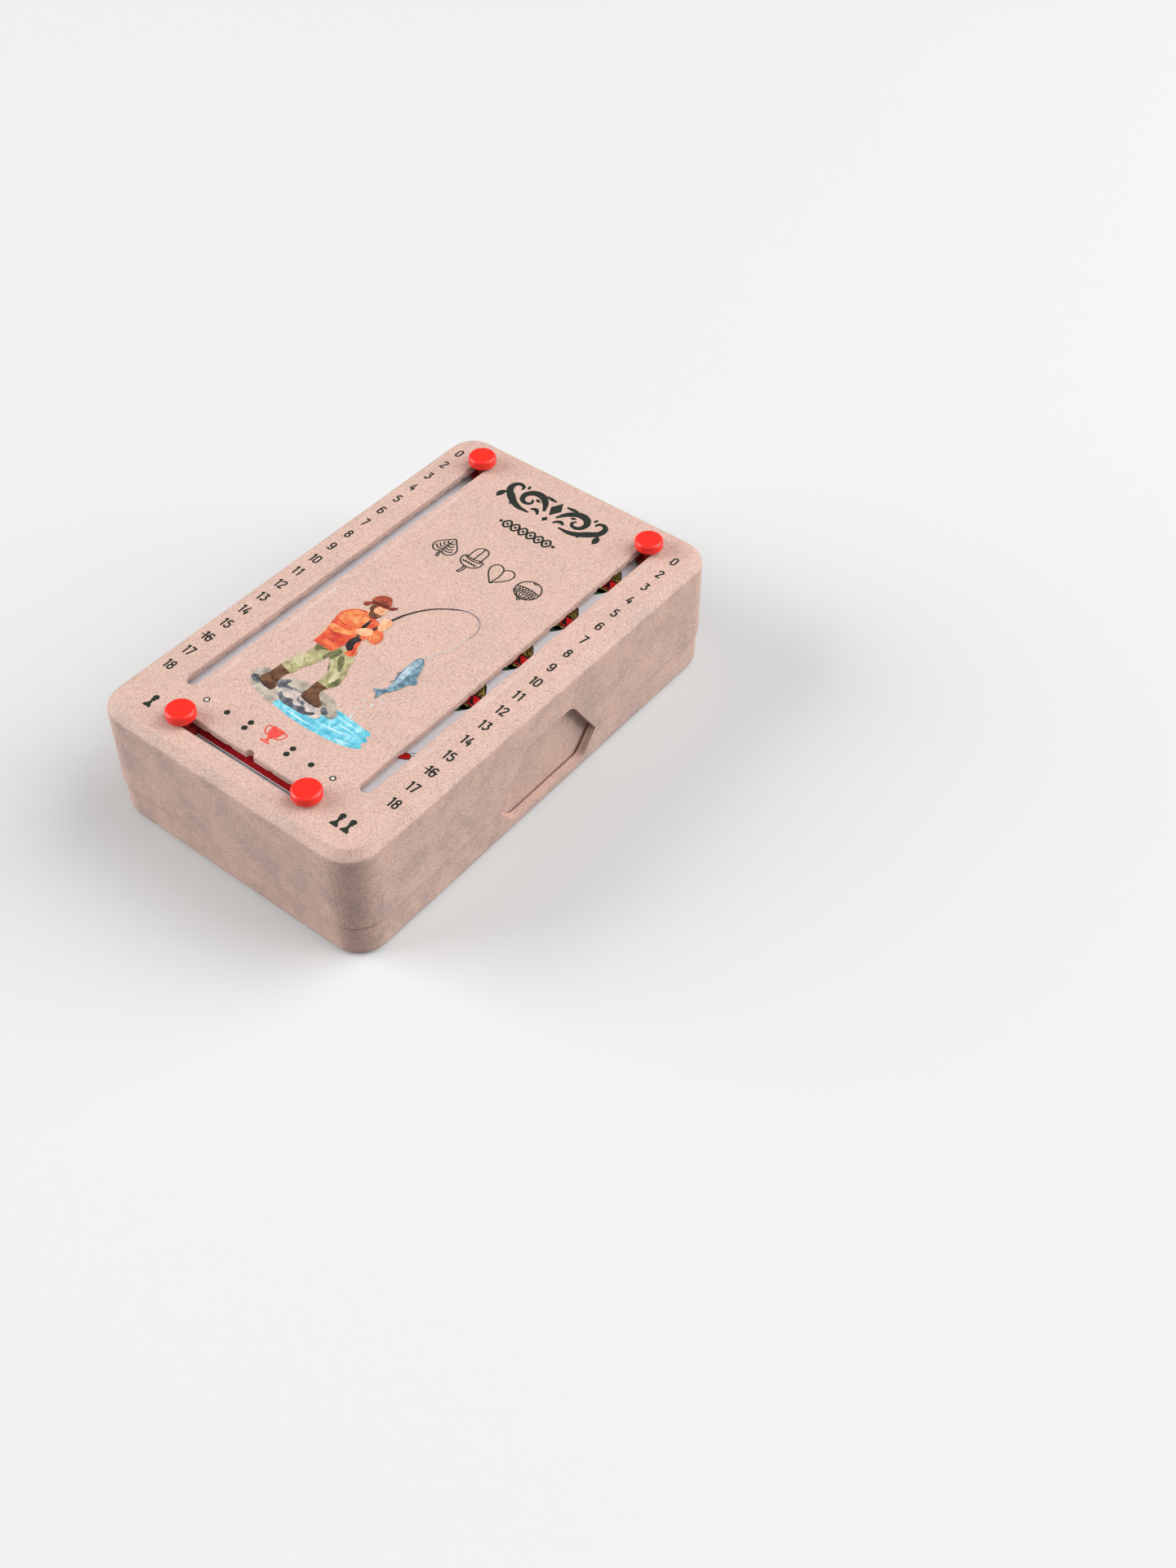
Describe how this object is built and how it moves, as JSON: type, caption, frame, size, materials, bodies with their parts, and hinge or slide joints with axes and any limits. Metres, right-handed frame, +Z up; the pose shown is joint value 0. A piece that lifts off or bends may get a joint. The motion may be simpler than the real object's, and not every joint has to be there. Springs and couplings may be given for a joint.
{
  "type": "card game score box",
  "caption": "Flat card box with a deep lid over a shallow tray; red knobs slide in three slots in the lid to keep score, and two decks of cards lie inside.",
  "frame": {"origin": "middle of the flat underside of the tray", "axes": "+Z up through the lid, +Y towards the end with the number 0, +X to the right for someone reading the numbers"},
  "size_m": [0.067, 0.11, 0.0312],
  "materials": {
    "lid_board": "moulded wood-fibre composite, pinkish beige with fine dark and light specks, matte",
    "tray_board": "moulded wood-fibre composite, pinkish beige with fine specks, matte",
    "collar_board": "moulded wood-fibre composite, matte",
    "red_plastic": "bright red moulded plastic, satin gloss",
    "card_paper": "coated white card stock, satin"
  },
  "bodies": {
    "base": {"tray": "tray_board", "collar": "collar_board"},
    "lid": {"lid": "lid_board"},
    "left_score_slider": {"left_score_knob": "red_plastic", "left_score_foot": "red_plastic"},
    "right_score_slider": {"right_score_knob": "red_plastic", "right_score_foot": "red_plastic"},
    "left_game_slider": {"left_game_knob": "red_plastic", "left_game_foot": "red_plastic"},
    "right_game_slider": {"right_game_knob": "red_plastic", "right_game_foot": "red_plastic"},
    "lower_deck": {"lower_deck": "card_paper"},
    "upper_deck": {"card_01": "card_paper", "card_02": "card_paper", "card_03": "card_paper", "card_04": "card_paper", "card_05": "card_paper", "card_06": "card_paper", "card_07": "card_paper", "card_08": "card_paper", "card_09": "card_paper", "card_10": "card_paper", "card_11": "card_paper", "card_12": "card_paper", "card_13": "card_paper", "card_14": "card_paper", "card_15": "card_paper", "card_16": "card_paper", "card_17": "card_paper", "card_18": "card_paper", "card_19": "card_paper", "card_20": "card_paper", "card_21": "card_paper", "card_22": "card_paper", "card_23": "card_paper", "card_24": "card_paper", "card_25": "card_paper", "card_26": "card_paper", "card_27": "card_paper", "card_28": "card_paper", "card_29": "card_paper", "card_30": "card_paper", "card_31": "card_paper", "card_32": "card_paper", "card_33": "card_paper"}
  },
  "joints": [
    {"name": "lid_lift", "type": "slide", "parent": "base", "child": "lid", "axis": [0, 0, 1], "range_m": [0, 0.09]},
    {"name": "upper_deck_lift", "type": "slide", "parent": "base", "child": "upper_deck", "axis": [0, 0, 1], "range_m": [0, 0.0495]},
    {"name": "lower_deck_lift", "type": "slide", "parent": "base", "child": "lower_deck", "axis": [0, 0, 1], "range_m": [0, 0.0252]},
    {"name": "left_score_slide", "type": "slide", "parent": "lid", "child": "left_score_slider", "axis": [0, -1, 0], "range_m": [0, 0.085]},
    {"name": "right_score_slide", "type": "slide", "parent": "lid", "child": "right_score_slider", "axis": [0, -1, 0], "range_m": [0, 0.085]},
    {"name": "left_game_slide", "type": "slide", "parent": "lid", "child": "left_game_slider", "axis": [1, 0, 0], "range_m": [0, 0.013]},
    {"name": "right_game_slide", "type": "slide", "parent": "lid", "child": "right_game_slider", "axis": [-1, 0, 0], "range_m": [0, 0.013]}
  ],
  "couplings": [
    {"joint": "upper_deck_lift", "follows": "lid_lift", "ratio": 0.55},
    {"joint": "lower_deck_lift", "follows": "lid_lift", "ratio": 0.28}
  ]
}
